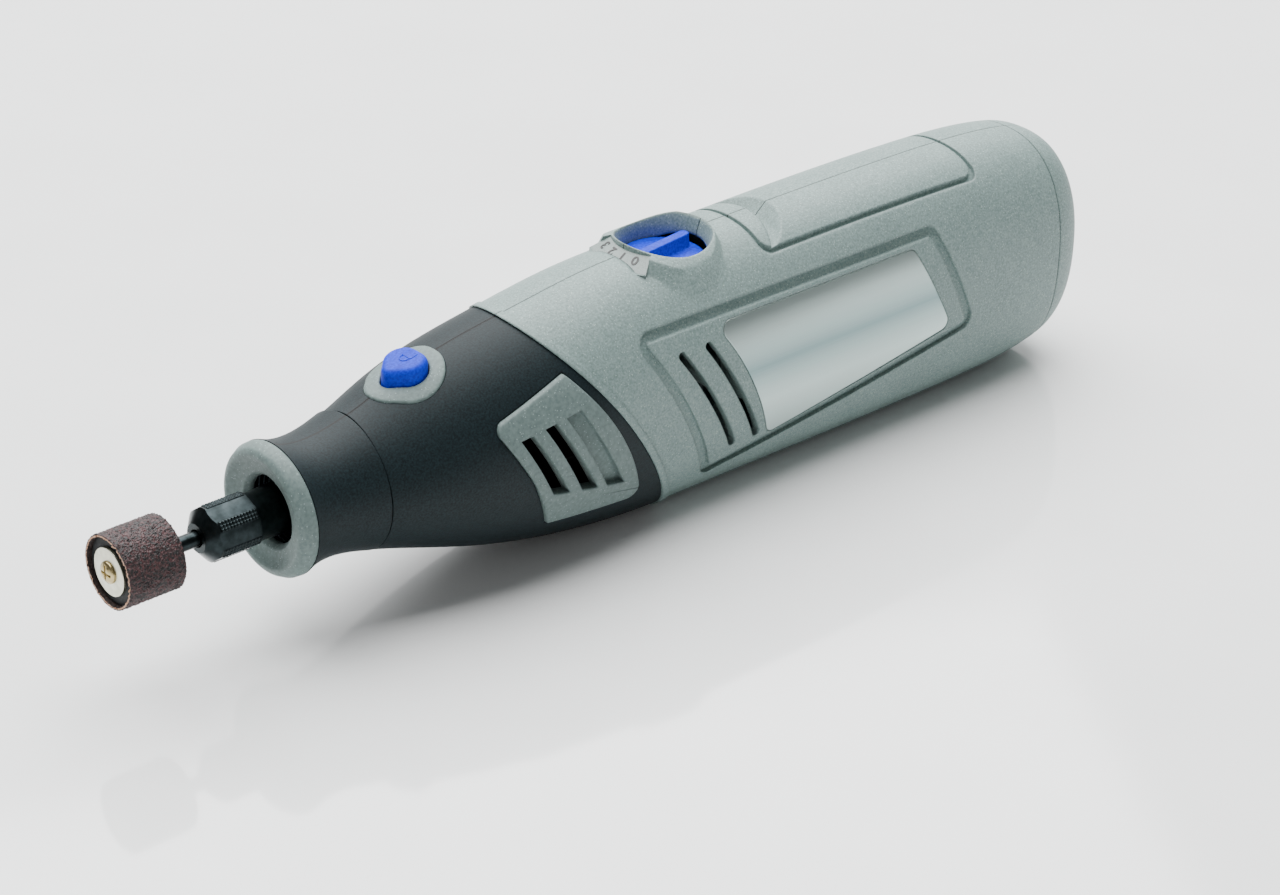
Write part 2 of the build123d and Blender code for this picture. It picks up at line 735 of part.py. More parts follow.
# ---- the sanding drum ----
with BuildPart() as mandrel:
    turned((2.0, 1.0), (2.0, 2.2), (12.0, 2.2), (12.0, 4.9), (12.7, 4.9), (12.7, SHANK_RADIUS),
           (44.0, SHANK_RADIUS), (44.0, 0), (9.5, 0), (9.5, 1.0))
write(mandrel.part, "mandrel")

with BuildPart() as rubber_drum:
    tube(1.1, 12.0, BAND_INNER, 2.2)
write(rubber_drum.part, "rubber_drum")

with BuildPart() as sanding_band:
    tube(0, DRUM_WIDTH, DRUM_RADIUS, BAND_INNER)
write(sanding_band.part, "sanding_band")

with BuildPart() as drum_washer:
    tube(0.3, 1.1, 4.9, 1.0)
write(drum_washer.part, "drum_washer")

with BuildPart() as drum_screw:
    turned((-DRUM_FACE, 0), (-DRUM_FACE, 1.3), (-0.1, 2.2), (0.3, 2.3), (0.3, 1.0), (8.5, 1.0), (8.5, 0))
    with BuildSketch(across(-DRUM_FACE)):
        Rectangle(0.5, 3.2)
        Rectangle(3.2, 0.5)
    extrude(amount=0.45, mode=Mode.SUBTRACT)
write(drum_screw.part, "drum_screw")

# ---- motor, coupling and fan ----
with BuildPart() as shaft_coupling:
    turned((87.0, SPINDLE_RADIUS), (91.0, SPINDLE_RADIUS), (91.0, SHAFT_RADIUS), (96.0, SHAFT_RADIUS), (96.0, 5.5),
           (87.0, 5.5))
write(shaft_coupling.part, "shaft_coupling")

with BuildPart() as cooling_fan:
    tube(FAN_FRONT, FAN_FRONT + 7.5, 4.0, SHAFT_RADIUS)
    tube(FAN_FRONT + 6.3, FAN_FRONT + 7.5, FAN_RADIUS, 3.5)
    with Locations(across(FAN_FRONT + 3.4)):
        with PolarLocations((FAN_RADIUS + 3.5) / 2, FAN_BLADES):
            Box(FAN_RADIUS - 3.5, 0.9, 6.4)
    tube(FAN_FRONT, FAN_FRONT + 1.0, SHAFT_RADIUS + 1.0, SHAFT_RADIUS)
write(cooling_fan.part, "cooling_fan")

BUSH_OUTER = 3.0
BUSH_INNER = SHAFT_RADIUS + RUNNING_FIT
with BuildPart() as motor_can:
    turned(
        (107.0, BUSH_OUTER),
        (110.4, BUSH_OUTER),
        (110.4, 12.8),
        (MOTOR_BACK, 12.8),
        (MOTOR_BACK, MOTOR_RADIUS),
        (MOTOR_FRONT, MOTOR_RADIUS),
        (MOTOR_FRONT, 4.5),
        (107.0, 4.5),
    )
write(motor_can.part, "motor_can")

with BuildPart() as motor_bushes:
    tube(107.0, 110.4, BUSH_OUTER, BUSH_INNER)
    tube(MOTOR_BACK, 154.0, BUSH_OUTER, BUSH_INNER)
write(motor_bushes.part, "motor_bushes")

with BuildPart() as motor_magnets:
    tube(114.0, 141.0, 12.8, 10.3)
    with BuildSketch(across(110.0)):
        Rectangle(7, 30)
    extrude(amount=35, mode=Mode.SUBTRACT)
write(motor_magnets.part, "motor_magnets")

with BuildPart() as motor_shaft:
    disc(91.0, 157.0, SHAFT_RADIUS)
write(motor_shaft.part, "motor_shaft")

with BuildPart() as rotor_core:
    tube(117.5, 138.5, 9.9, SHAFT_RADIUS)
    with BuildSketch(across(117.5)):
        with PolarLocations(7.5, 5):
            Rectangle(6, 1.6)
    extrude(amount=21, mode=Mode.SUBTRACT)
write(rotor_core.part, "rotor_core")

with BuildPart() as rotor_windings:
    tube(113.5, 117.5, 8.6, 2.6)
    tube(138.5, 142.0, 8.6, 2.6)
write(rotor_windings.part, "rotor_windings")

with BuildPart() as commutator:
    tube(142.2, 148.4, 3.6, SHAFT_RADIUS)
write(commutator.part, "commutator")

BRUSH_TIP = 3.6 + RUNNING_FIT
BRUSH_MIDDLE = 145.6
with BuildPart() as motor_end_cap:
    tube(MOTOR_BACK, 151.0, MOTOR_RADIUS, BUSH_OUTER)
    tube(151.0, 154.0, 5.0, BUSH_OUTER)
    with BuildSketch(across(142.6)):
        with Locations((7.6, 0), (-7.6, 0)):
            Rectangle(6.4, 5.4)
            Rectangle(6.4, 3.0, mode=Mode.SUBTRACT)
    extrude(amount=MOTOR_BACK - 142.6)
write(motor_end_cap.part, "motor_end_cap")

with BuildPart() as brushes:
    with BuildSketch(across(BRUSH_MIDDLE - 1.6)):
        for side in (1, -1):
            with Locations((side * (BRUSH_TIP + 8.8) / 2, 0)):
                Rectangle(8.8 - BRUSH_TIP, 2.9)
    extrude(amount=3.2)
write(brushes.part, "brushes")

with BuildPart() as brush_springs:
    with BuildSketch(across(BRUSH_MIDDLE - 1.6)):
        for side in (1, -1):
            with Locations((side * 9.8, 0)):
                Rectangle(2.0, 2.9)
                Rectangle(1.3, 2.2, mode=Mode.SUBTRACT)
    extrude(amount=3.2)
write(brush_springs.part, "brush_springs")

# ---- battery pack and its contacts ----
PACK_FRONT = 170.4
PACK_GAP = 0.35
CASE_WALL = 1.2
CASE_WIDTH = BAY_WIDTH - PACK_GAP
CASE_HEIGHT = BAY_HEIGHT - PACK_GAP
CELL_RISE = 14.5
FIRST_CELL = PACK_FRONT + 2.2
SECOND_CELL = FIRST_CELL + CELL_LENGTH + 0.8
CELLS_BACK = SECOND_CELL + CELL_LENGTH
TAIL_FRONT = BODY_BACK + FIT

case_outer = bay_half(PACK_FRONT, TAIL_FRONT, CASE_WIDTH, CASE_HEIGHT)
case_inner = bay_half(PACK_FRONT + 1.6, TAIL_FRONT + 1, CASE_WIDTH - CASE_WALL, CASE_HEIGHT - CASE_WALL)
case_half = case_outer - case_inner

with BuildPart() as terminal_block:
    with BuildSketch(across(PACK_FRONT)):
        with Locations((0, 6), (0, -6)):
            Rectangle(8, 4)
    extrude(amount=1.6)

with BuildPart() as battery_case:
    add(case_half + mirror(case_half, about=Plane.XZ))
    add(terminal_block.part, mode=Mode.SUBTRACT)
write(battery_case.part, "battery_case")
write(terminal_block.part, "battery_terminals")

with BuildPart() as battery_cells:
    for front in (FIRST_CELL, SECOND_CELL):
        with BuildSketch(across(front)):
            with Locations((0, CELL_RISE), (0, 0), (0, -CELL_RISE)):
                Circle(CELL_RADIUS)
        extrude(amount=CELL_LENGTH)
write(battery_cells.part, "battery_cells")

with BuildPart() as cell_links:
    with BuildSketch(across(FIRST_CELL - 0.3)):
        Rectangle(5, 2 * CELL_RISE + 8)
    extrude(amount=0.3)
    with BuildSketch(across(FIRST_CELL + CELL_LENGTH)):
        with Locations((0, CELL_RISE), (0, 0), (0, -CELL_RISE)):
            Rectangle(5, 6)
    extrude(amount=0.8)
    with BuildSketch(across(CELLS_BACK)):
        Rectangle(5, 2 * CELL_RISE + 8)
    extrude(amount=0.3)
write(cell_links.part, "cell_links")

tail_half = half_loft(TAIL_SECTIONS, 0)
with BuildPart() as battery_cap:
    add(tail_half + mirror(tail_half, about=Plane.XZ))
write(battery_cap.part, "battery_cap")

with BuildPart() as contact_block:
    with BuildSketch(across(157.5)):
        Rectangle(24, 20)
    extrude(amount=9)
write(contact_block.part, "contact_block")

with BuildPart() as contact_blades:
    with BuildSketch(across(166.5)):
        with Locations((0, 6), (0, -6)):
            Rectangle(6, 0.8)
    extrude(amount=PACK_FRONT - FIT - 166.5)
write(contact_blades.part, "contact_blades")

with BuildPart() as internal_leads:
    for side in (5.0, -5.0):
        with BuildSketch(above(9.0)):
            with Locations((152.0, side)):
                Circle(0.8)
        extrude(amount=BOARD_UNDER - 9.0)
        with BuildSketch(above(10.0)):
            with Locations((152.6, side * 1.6)):
                Circle(0.8)
        extrude(amount=BOARD_UNDER - 10.0)
write(internal_leads.part, "internal_leads")


def housing_screws(places):
    """The screws that hold one pair of housing halves together, as separate solids in one part."""
    with BuildPart() as screws:
        with BuildSketch(SIDE.offset(SCREW_REACH - 0.4)):
            with Locations(places):
                Circle(SCREW_RADIUS)
        extrude(amount=-SCREW_SEAT - SCREW_REACH + 0.4)
        with BuildSketch(SIDE.offset(-SCREW_SEAT)):
            with Locations(places):
                Circle(SCREW_HEAD)
        extrude(amount=-2.2)
    return screws.part


write(housing_screws(FRONT_SCREWS + REAR_SCREWS), "housing_screws")
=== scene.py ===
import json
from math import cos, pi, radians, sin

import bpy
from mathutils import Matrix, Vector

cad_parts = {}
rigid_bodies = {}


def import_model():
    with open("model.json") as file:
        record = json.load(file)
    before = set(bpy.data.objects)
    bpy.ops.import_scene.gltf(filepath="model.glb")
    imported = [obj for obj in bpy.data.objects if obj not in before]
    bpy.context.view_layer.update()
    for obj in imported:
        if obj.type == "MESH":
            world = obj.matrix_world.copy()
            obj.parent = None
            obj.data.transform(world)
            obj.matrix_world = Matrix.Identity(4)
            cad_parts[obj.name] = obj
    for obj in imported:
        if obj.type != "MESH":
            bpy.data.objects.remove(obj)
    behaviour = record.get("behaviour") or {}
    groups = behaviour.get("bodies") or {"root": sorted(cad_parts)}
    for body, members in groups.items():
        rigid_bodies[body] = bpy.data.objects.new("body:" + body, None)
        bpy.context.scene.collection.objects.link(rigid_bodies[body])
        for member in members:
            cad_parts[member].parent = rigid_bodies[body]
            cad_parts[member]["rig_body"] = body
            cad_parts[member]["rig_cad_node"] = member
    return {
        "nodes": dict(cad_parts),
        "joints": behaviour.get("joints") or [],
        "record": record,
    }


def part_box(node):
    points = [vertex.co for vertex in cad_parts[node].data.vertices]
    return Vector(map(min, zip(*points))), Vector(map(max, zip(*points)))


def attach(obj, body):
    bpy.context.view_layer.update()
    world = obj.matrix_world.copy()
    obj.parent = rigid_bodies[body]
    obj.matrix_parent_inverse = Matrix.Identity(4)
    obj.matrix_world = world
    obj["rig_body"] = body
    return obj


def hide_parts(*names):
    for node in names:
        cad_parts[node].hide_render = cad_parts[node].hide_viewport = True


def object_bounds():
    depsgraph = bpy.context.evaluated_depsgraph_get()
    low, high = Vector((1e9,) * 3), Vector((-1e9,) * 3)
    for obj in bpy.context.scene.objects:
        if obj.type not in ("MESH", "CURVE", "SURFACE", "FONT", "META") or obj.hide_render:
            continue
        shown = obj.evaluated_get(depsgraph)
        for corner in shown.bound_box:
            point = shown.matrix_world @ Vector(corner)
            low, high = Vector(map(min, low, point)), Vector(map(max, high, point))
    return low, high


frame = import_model()
cad_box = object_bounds()

# %% [markdown]
# The tool is a cordless rotary tool: a light grey ABS body, a dark nylon nose, a speed dial in a
# crater on its back, and a half-inch sanding drum in its collet. The exact shapes come from the
# frame. Here each visible shell gets a smooth skin, each finish gets its own material, and the
# small details that only the eye needs are modelled: grit, knurling, numbers, a padlock sign and
# a thread.

MM = 0.001
record = frame["record"]
body_of_node = {
    node: body for body, nodes in record["behaviour"]["bodies"].items() for node in nodes
}
slot_of_node = {part["node"]: part["material_slot"] for part in record["subparts"]}

band_low, band_high = (Vector(corner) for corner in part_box("sanding_band"))
DRUM_FRONT = Vector((band_low.x, 0, (band_low.z + band_high.z) / 2))


def at(station, side, height):
    """The point at a station behind the drum's face, a side offset and a height over the spindle.

    All three are in mm.
    """
    return DRUM_FRONT + Vector((station, side, height)) * MM


def facing(along, outward, spot):
    """The place of a flat piece at a spot: its X runs along one way and its Z looks outward."""
    place = Matrix((along, outward.cross(along), outward)).transposed().to_4x4()
    place.translation = spot
    return place


def deselect():
    """Leave nothing selected, so that an operator acts only on what comes next."""
    bpy.ops.object.select_all(action="DESELECT")


def only(piece):
    """Select one object and make it active."""
    deselect()
    piece.select_set(True)
    bpy.context.view_layer.objects.active = piece


def named(name):
    """Name the object that was just added, and its mesh."""
    piece = bpy.context.active_object
    piece.name = name
    piece.data.name = name
    return piece


def own_copy(piece, name):
    """A copy of the piece that has its own mesh."""
    twin = piece.copy()
    twin.data = piece.data.copy()
    twin.name = name
    twin.data.name = name
    bpy.context.scene.collection.objects.link(twin)
    return twin


def settle(piece):
    """Put the object's place, turn and size into its mesh."""
    only(piece)
    bpy.ops.object.transform_apply(location=True, rotation=True, scale=True)


def pick(piece, wanted):
    """In edit mode, select the faces for which wanted(face) is true."""
    bpy.ops.object.mode_set(mode="OBJECT")
    for face in piece.data.polygons:
        face.select = wanted(face)
    bpy.ops.object.mode_set(mode="EDIT")


def apply_modifier(piece, kind, settings):
    """Give the active piece a modifier with these settings, and apply it."""
    modifier = piece.modifiers.new(kind.lower(), kind)
    for key, value in settings.items():
        setattr(modifier, key, value)
    bpy.ops.object.modifier_apply(modifier=modifier.name)


def fit(piece, body, slot):
    """Let the piece ride on a body. The slot is not used."""
    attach(piece, body)


print("drum's face at", [round(v / MM, 2) for v in DRUM_FRONT], "mm")

# %% [markdown]
# Colours are written as hex values, as a paint chart gives them, and turned to linear light once.
# A material is a small tree of nodes. One helper adds a node, sets its sockets, and links its
# inputs, so that each finish below reads as a short list. The other helpers here are small groups
# of nodes that several finishes share: a relief, pale grains, and the line between two shells.

# %% Colour and node helpers
SEAM_DARK = "#0A0D0E"


def hex_colour(code):
    """A linear RGBA colour from an sRGB hex code."""
    channels = [int(code[i:i + 2], 16) / 255 for i in (1, 3, 5)]
    linear = [c / 12.92 if c <= 0.04045 else ((c + 0.055) / 1.055) ** 2.4 for c in channels]
    return (*linear, 1.0)


def add_node(tree, kind, settings=None, links=None):
    """Add a node. Settings are sockets, properties or colour stops; links feed sockets."""
    node = tree.nodes.new(kind)
    for key, value in (settings or {}).items():
        if key == "stops":
            for stop, (position, code) in zip(node.color_ramp.elements, value):
                stop.position = position
                stop.color = hex_colour(code)
        elif isinstance(key, int) or key in node.inputs:
            node.inputs[key].default_value = value
        else:
            setattr(node, key, value)
    for key, output in (links or {}).items():
        tree.links.new(output, node.inputs[key])
    return node


def new_material(name):
    """An empty material: its node tree, and the object coordinates in millimetres."""
    material = bpy.data.materials.new(name)
    material.use_nodes = True
    tree = material.node_tree
    tree.nodes.clear()
    place = add_node(tree, "ShaderNodeTexCoord")
    in_mm = add_node(tree, "ShaderNodeMapping", {"Scale": (1 / MM, 1 / MM, 1 / MM)},
                     {"Vector": place.outputs["Object"]})
    return material, tree, in_mm.outputs["Vector"]


def relief(tree, height, depth, strength=1.0, edge=0.25):
    """A bump of a depth in mm on a surface whose edges are rounded by a radius in mm."""
    rounded = add_node(tree, "ShaderNodeBevel", {"samples": 8, "Radius": edge * MM})
    bump = add_node(tree, "ShaderNodeBump", {"Strength": strength, "Distance": depth * MM},
                    {"Height": height, "Normal": rounded.outputs["Normal"]})
    return bump.outputs["Normal"]


def pale_grains(tree, where, colour, tint, spacing=0.75, size=0.15):
    """The colour with pale grains in it, a spacing apart in mm, their size a share of that."""
    cells = add_node(tree, "ShaderNodeTexVoronoi", {"Scale": 1 / spacing}, {"Vector": where})
    inside = add_node(tree, "ShaderNodeMath", {"operation": "LESS_THAN", 1: size},
                      {0: cells.outputs["Distance"]})
    both = add_node(tree, "ShaderNodeMix", {"data_type": "RGBA", 7: hex_colour(tint)},
                    {0: inside.outputs["Value"], 6: colour})
    return both.outputs[2]


def over_seam(tree, where, colour, half_width):
    """The colour, turned to the dark of the gap within half a width of the parting plane, in mm."""
    axes = add_node(tree, "ShaderNodeSeparateXYZ", links={"Vector": where})
    away = add_node(tree, "ShaderNodeMath", {"operation": "ABSOLUTE"}, {0: axes.outputs["Y"]})
    gap = add_node(tree, "ShaderNodeMath", {"operation": "LESS_THAN", 1: half_width},
                   {0: away.outputs["Value"]})
    both = add_node(tree, "ShaderNodeMix", {"data_type": "RGBA", 7: hex_colour(SEAM_DARK)},
                    {0: gap.outputs["Value"], 6: colour})
    return both.outputs[2]


def surface(tree, gloss, colour, normal=None):
    """The shader that ends the tree."""
    links = {"Base Color": colour}
    if normal:
        links["Normal"] = normal
    shader = add_node(tree, "ShaderNodeBsdfPrincipled", gloss, links)
    add_node(tree, "ShaderNodeOutputMaterial", links={"Surface": shader.outputs["BSDF"]})


def grained(name, colours, gloss, grain, detail=2.0, depth=0.0, strength=1.0, edge=0.25):
    """A plain finish: one noise, of a grain in mm, makes both its two tones and its relief."""
    material, tree, where = new_material(name)
    spots = add_node(tree, "ShaderNodeTexNoise", {"Scale": 1 / grain, "Detail": detail},
                     {"Vector": where}).outputs["Fac"]
    tones = add_node(tree, "ShaderNodeValToRGB", {"stops": zip((0.35, 0.65), colours)},
                     {"Fac": spots})
    bump = relief(tree, spots, depth, strength, edge) if depth else None
    surface(tree, gloss, tones.outputs["Color"], bump)
    return material


print("white is", hex_colour("#FFFFFF"))

# %% [markdown]
# The body is moulded ABS from a spark-eroded tool: a matt skin of tiny pits, with pale grains
# mixed into the plastic that catch the light as fine specks. The pits are about 0.3 mm and the
# grains finer still; both are drawn a little coarser so that they show. The nose is glass-filled
# nylon, much darker, and the soft grey trim is rubbery.

# %% Shells and trim
ABS_PIT = 0.45  # mm
ABS_CLOUD = 9.0  # mm across one faint cloud of tone
CLOUD_SHARE = 0.12  # how far a cloud may shift the tone
ABS_SEAM = 0.07  # mm, half the width of the line between the halves
NYLON_PIT = 0.4  # mm
NYLON_SEAM = 0.26  # mm, half the width of the nose's plainer line
TRIM_PIT = 0.35  # mm
TRIM_MOTTLE = 0.8  # mm


def moulded_abs():
    # Matt and speckled, with soft moulded edges and a hair-thin line where the halves meet.
    material, tree, where = new_material("moulded_abs_light_grey")
    pits = add_node(tree, "ShaderNodeTexNoise",
                    {"Scale": 1 / ABS_PIT, "Detail": 3.0, "Roughness": 0.6}, {"Vector": where})
    cloud = add_node(tree, "ShaderNodeTexNoise", {"Scale": 1 / ABS_CLOUD}, {"Vector": where})
    drift = add_node(tree, "ShaderNodeMath",
                     {"operation": "MULTIPLY_ADD", 1: CLOUD_SHARE, 2: -CLOUD_SHARE / 2},
                     {0: cloud.outputs["Fac"]})
    mixed = add_node(tree, "ShaderNodeMath", {"operation": "ADD"},
                     {0: pits.outputs["Fac"], 1: drift.outputs["Value"]})
    tones = add_node(tree, "ShaderNodeValToRGB", {"stops": [(0.3, "#667A77"), (0.7, "#8B9F9C")]},
                     {"Fac": mixed.outputs["Value"]})
    colour = pale_grains(tree, where, tones.outputs["Color"], "#A9BBB7")
    colour = over_seam(tree, where, colour, half_width=ABS_SEAM)
    surface(tree, {"Roughness": 0.52, "IOR": 1.53, "Specular IOR Level": 0.35}, colour,
            relief(tree, pits.outputs["Fac"], depth=0.07, strength=0.7, edge=0.8))
    return material


def moulded_nylon():
    # Glass fibres dull the gloss, so the charcoal stays deep even under the overhead light.
    material, tree, where = new_material("moulded_nylon_charcoal")
    pits = add_node(tree, "ShaderNodeTexNoise",
                    {"Scale": 1 / NYLON_PIT, "Detail": 3.0, "Roughness": 0.6}, {"Vector": where})
    tones = add_node(tree, "ShaderNodeValToRGB",
                     {"stops": [(0.35, "#0A1518"), (0.65, "#17262A")]},
                     {"Fac": pits.outputs["Fac"]})
    colour = over_seam(tree, where, tones.outputs["Color"], half_width=NYLON_SEAM)
    surface(tree, {"Roughness": 0.56, "IOR": 1.54, "Specular IOR Level": 0.18}, colour,
            relief(tree, pits.outputs["Fac"], depth=0.06, strength=0.7, edge=0.3))
    return material


def soft_elastomer():
    # A rubbery skin hides its gloss, and the same pale grains are mixed into it as into the body.
    material, tree, where = new_material("moulded_elastomer_grey")
    mottle = add_node(tree, "ShaderNodeTexNoise", {"Scale": 1 / TRIM_MOTTLE, "Detail": 4.0},
                      {"Vector": where})
    pits = add_node(tree, "ShaderNodeTexNoise", {"Scale": 1 / TRIM_PIT}, {"Vector": where})
    tones = add_node(tree, "ShaderNodeValToRGB",
                     {"stops": [(0.35, "#596A68"), (0.65, "#697B78")]},
                     {"Fac": mottle.outputs["Fac"]})
    colour = pale_grains(tree, where, tones.outputs["Color"], "#8FA19D")
    gloss = {"Roughness": 0.6, "IOR": 1.5, "Sheen Weight": 0.05, "Sheen Roughness": 0.5}
    surface(tree, gloss, colour,
            relief(tree, pits.outputs["Fac"], depth=0.05, strength=0.6, edge=0.9))
    return material


print("shells and trim ready")

# %% [markdown]
# The small plastic parts are plain: one fine grain gives each its two close tones and its slight
# relief, so one helper makes them all and only the colours, the gloss and the grain differ.

# %% Small plastic parts
def blue_acetal():
    # Acetal is self-coloured and waxy: a saturated blue with a broad soft highlight.
    return grained("satin_acetal_blue", ("#021FB4", "#0634DA"),
                   {"Roughness": 0.5, "IOR": 1.48, "Specular IOR Level": 0.16},
                   grain=0.5, detail=3.0, depth=0.03, strength=0.4, edge=0.4)


def satin_plate():
    # A painted plate, smoother than the body round it, so that the numbers stay easy to read.
    return grained("satin_printed_plate_grey", ("#74827F", "#84928F"),
                   {"Roughness": 0.4, "IOR": 1.5}, grain=0.3, depth=0.02, strength=0.4)


def black_phenolic():
    # Pressed powder resin: nearly black, with a dull even shine.
    return grained("moulded_phenolic_black", ("#101214", "#1C1F21"),
                   {"Roughness": 0.5, "IOR": 1.6}, grain=0.4, depth=0.04, strength=0.5)


def moulded_rubber():
    # Rubber takes in nearly all light and has no clear highlight.
    return grained("moulded_rubber_black", ("#0D0F10", "#1B1E20"),
                   {"Roughness": 0.7, "IOR": 1.52},
                   grain=0.5, detail=4.0, depth=0.06, strength=0.6)


def green_laminate():
    # The circuit board: a glossy green varnish over a woven glass sheet.
    return grained("green_glass_laminate", ("#0E4426", "#17613A"),
                   {"Roughness": 0.35, "IOR": 1.55}, grain=0.4, depth=0.02)


def shrink_wrap():
    # The cells' sleeve: shiny, with broad shallow creases where it has shrunk.
    return grained("shrink_wrap_green", ("#1B5A3A", "#247048"),
                   {"Roughness": 0.25, "IOR": 1.5},
                   grain=3.0, detail=4.0, depth=0.08, strength=0.5)


def printed_ink():
    # Screen-printed ink lies on the plate as a thin satin film, black with no relief.
    return grained("printed_ink_black", ("#0C0D0E", "#17191A"),
                   {"Roughness": 0.45, "IOR": 1.5}, grain=0.3)


print("small plastic parts ready")

# %% [markdown]
# Turned metal keeps fine rings from the tool that cut it. They run round the spindle, so the
# pattern is bands across X. Black oxide leaves the steel's own marks under a thin dark coat, and
# the zinc plate has a faint yellow in it. Bright steel shines a clear grey, sintered bronze is
# porous and so duller, and the nickel has a warm straw tint. Wound copper has a painted gleam on
# each turn and painted shade between turns, while the motor's iron is dull sheets. The label is a
# brushed aluminium foil with lengthwise scratches and a painted reflection, a dark band along its
# middle.

# %% Metals
WAVE_STEP = 0.3142  # mm between the bands of a wave texture whose scale is 1
WIRE_STEP = 0.5  # mm from one turn of wire, or one iron sheet, to the next
RING_STEP = 0.25  # mm, drawn coarser than the cutter's real rings so that they show
WEAR_PATCH = 1.8  # mm across one patch of wear
SCRATCH_SCALE = (0.05, 1.0, 6.0)  # long along X and fine along Z
PAINTED_REFLECTION_HEIGHT = DRUM_FRONT.z / MM + 3.0  # mm, the darkest level of the label's painted reflection band
PAINTED_REFLECTION_REACH = 9.0  # mm from there to its palest level


def turned_metal(name, dark, light, roughness, depth=0.006):
    """A metal turned in the lathe, with rings of a depth in mm around the X axis."""
    material, tree, where = new_material(name)
    rings = add_node(tree, "ShaderNodeTexWave",
                     {"bands_direction": "X", "Scale": WAVE_STEP / RING_STEP, "Distortion": 1.2},
                     {"Vector": where})
    wear = add_node(tree, "ShaderNodeTexNoise", {"Scale": 1 / WEAR_PATCH, "Detail": 4.0},
                    {"Vector": where})
    tones = add_node(tree, "ShaderNodeValToRGB", {"stops": [(0.35, dark), (0.65, light)]},
                     {"Fac": wear.outputs["Fac"]})
    surface(tree, {"Metallic": 1.0, "Roughness": roughness}, tones.outputs["Color"],
            relief(tree, rings.outputs["Fac"], depth, strength=0.6, edge=0.15))
    return material


def bands_with_painted_shade(name, dark, light, gloss, depth):
    """Wires or sheets side by side along X: each one is a band of relief, its colour lightest on
    its crest and darkest in the hollow to the next, a painted highlight and painted shade.
    """
    material, tree, where = new_material(name)
    bands = add_node(tree, "ShaderNodeTexWave",
                     {"bands_direction": "X", "Scale": WAVE_STEP / WIRE_STEP},
                     {"Vector": where}).outputs["Fac"]
    tones = add_node(tree, "ShaderNodeValToRGB", {"stops": [(0.2, dark), (0.8, light)]},
                     {"Fac": bands})
    surface(tree, gloss, tones.outputs["Color"], relief(tree, bands, depth))
    return material


def brushed_label():
    # The scratches stretch the highlight, and a painted reflection gives the foil a dark band along
    # its middle.
    material, tree, where = new_material("brushed_aluminium_foil")
    stretched = add_node(tree, "ShaderNodeMapping", {"Scale": SCRATCH_SCALE},
                         {"Vector": where})
    lines = add_node(tree, "ShaderNodeTexNoise", {"Scale": 1.0, "Detail": 3.0},
                     {"Vector": stretched.outputs["Vector"]}).outputs["Fac"]
    # Painted reflection: the foil's colour is darkest at one height and pales away from it.
    axes = add_node(tree, "ShaderNodeSeparateXYZ", links={"Vector": where})
    middle = add_node(tree, "ShaderNodeMath", {"operation": "SUBTRACT", 1: PAINTED_REFLECTION_HEIGHT},
                      {0: axes.outputs["Z"]})
    away = add_node(tree, "ShaderNodeMath", {"operation": "ABSOLUTE"},
                    {0: middle.outputs["Value"]})
    share = add_node(tree, "ShaderNodeMath", {"operation": "DIVIDE", 1: PAINTED_REFLECTION_REACH},
                     {0: away.outputs["Value"]})
    streaks_and_painted_reflection = add_node(tree, "ShaderNodeMath", {"operation": "MULTIPLY_ADD", 1: 0.15},
                        {0: lines, 2: share.outputs["Value"]})
    tones = add_node(tree, "ShaderNodeValToRGB", {"stops": [(0.05, "#74898A"), (1.0, "#B6C6C3")]},
                     {"Fac": streaks_and_painted_reflection.outputs["Value"]})
    surface(tree, {"Metallic": 1.0, "Roughness": 0.3, "Anisotropic": 0.3}, tones.outputs["Color"],
            relief(tree, lines, depth=0.004, strength=0.4))
    return material


print("metals ready")

# %% [markdown]
# The sanding band is aluminium oxide grit glued to a card tube. The grit is maroon-brown with
# pale sharp grains, and the card's cut edge shows as a cream ring at each end. The grains are
# real geometry further down; the material only colours them, by their distance from the spindle.

# %% Grit on card
WALL_RADIUS = 7.0  # mm from the spindle, just over the card's glued inner wall
CARD_RADIUS = 7.3  # mm from the spindle, where the card ends and the grit begins
GRAIN_SIZE = 0.42  # mm


def grit_band():
    # Each grain has its own tone, from nearly black to maroon, and its own sharp edge.
    material, tree, where = new_material("oxide_grit_on_card")
    grains = add_node(tree, "ShaderNodeTexVoronoi", {"Scale": 1 / GRAIN_SIZE}, {"Vector": where})
    tone = add_node(tree, "ShaderNodeSeparateColor", links={"Color": grains.outputs["Color"]})
    grit = add_node(tree, "ShaderNodeValToRGB", {"stops": [(0.3, "#0A0304"), (1.0, "#4A2628")]},
                    {"Fac": tone.outputs["Red"]})
    across = add_node(tree, "ShaderNodeMapping",
                      {"Location": (0, 0, -DRUM_FRONT.z / MM), "Scale": (0, 1, 1)},
                      {"Vector": where})
    reach = add_node(tree, "ShaderNodeVectorMath", {"operation": "LENGTH"},
                     {0: across.outputs["Vector"]}).outputs["Value"]
    past_card = add_node(tree, "ShaderNodeMath", {"operation": "GREATER_THAN", 1: CARD_RADIUS},
                         {0: reach})
    past_wall = add_node(tree, "ShaderNodeMath", {"operation": "GREATER_THAN", 1: WALL_RADIUS},
                         {0: reach})
    card = add_node(tree, "ShaderNodeMix",
                    {"data_type": "RGBA", 6: hex_colour("#2A1A16"), 7: hex_colour("#C79C80")},
                    {0: past_wall.outputs["Value"]})
    both = add_node(tree, "ShaderNodeMix", {"data_type": "RGBA"},
                    {0: past_card.outputs["Value"], 6: card.outputs[2], 7: grit.outputs["Color"]})
    surface(tree, {"Roughness": 0.6, "IOR": 1.76, "Specular IOR Level": 0.3}, both.outputs[2],
            relief(tree, grains.outputs["Distance"], depth=0.12, strength=0.6, edge=0.05))
    return material


print("grit ready")

# %% [markdown]
# The frame says which finish each node wears, by the name of a slot. Every node gets its finish
# here, the hidden ones too, since some of them show when the pack slides out or the nose cap is
# drawn off.

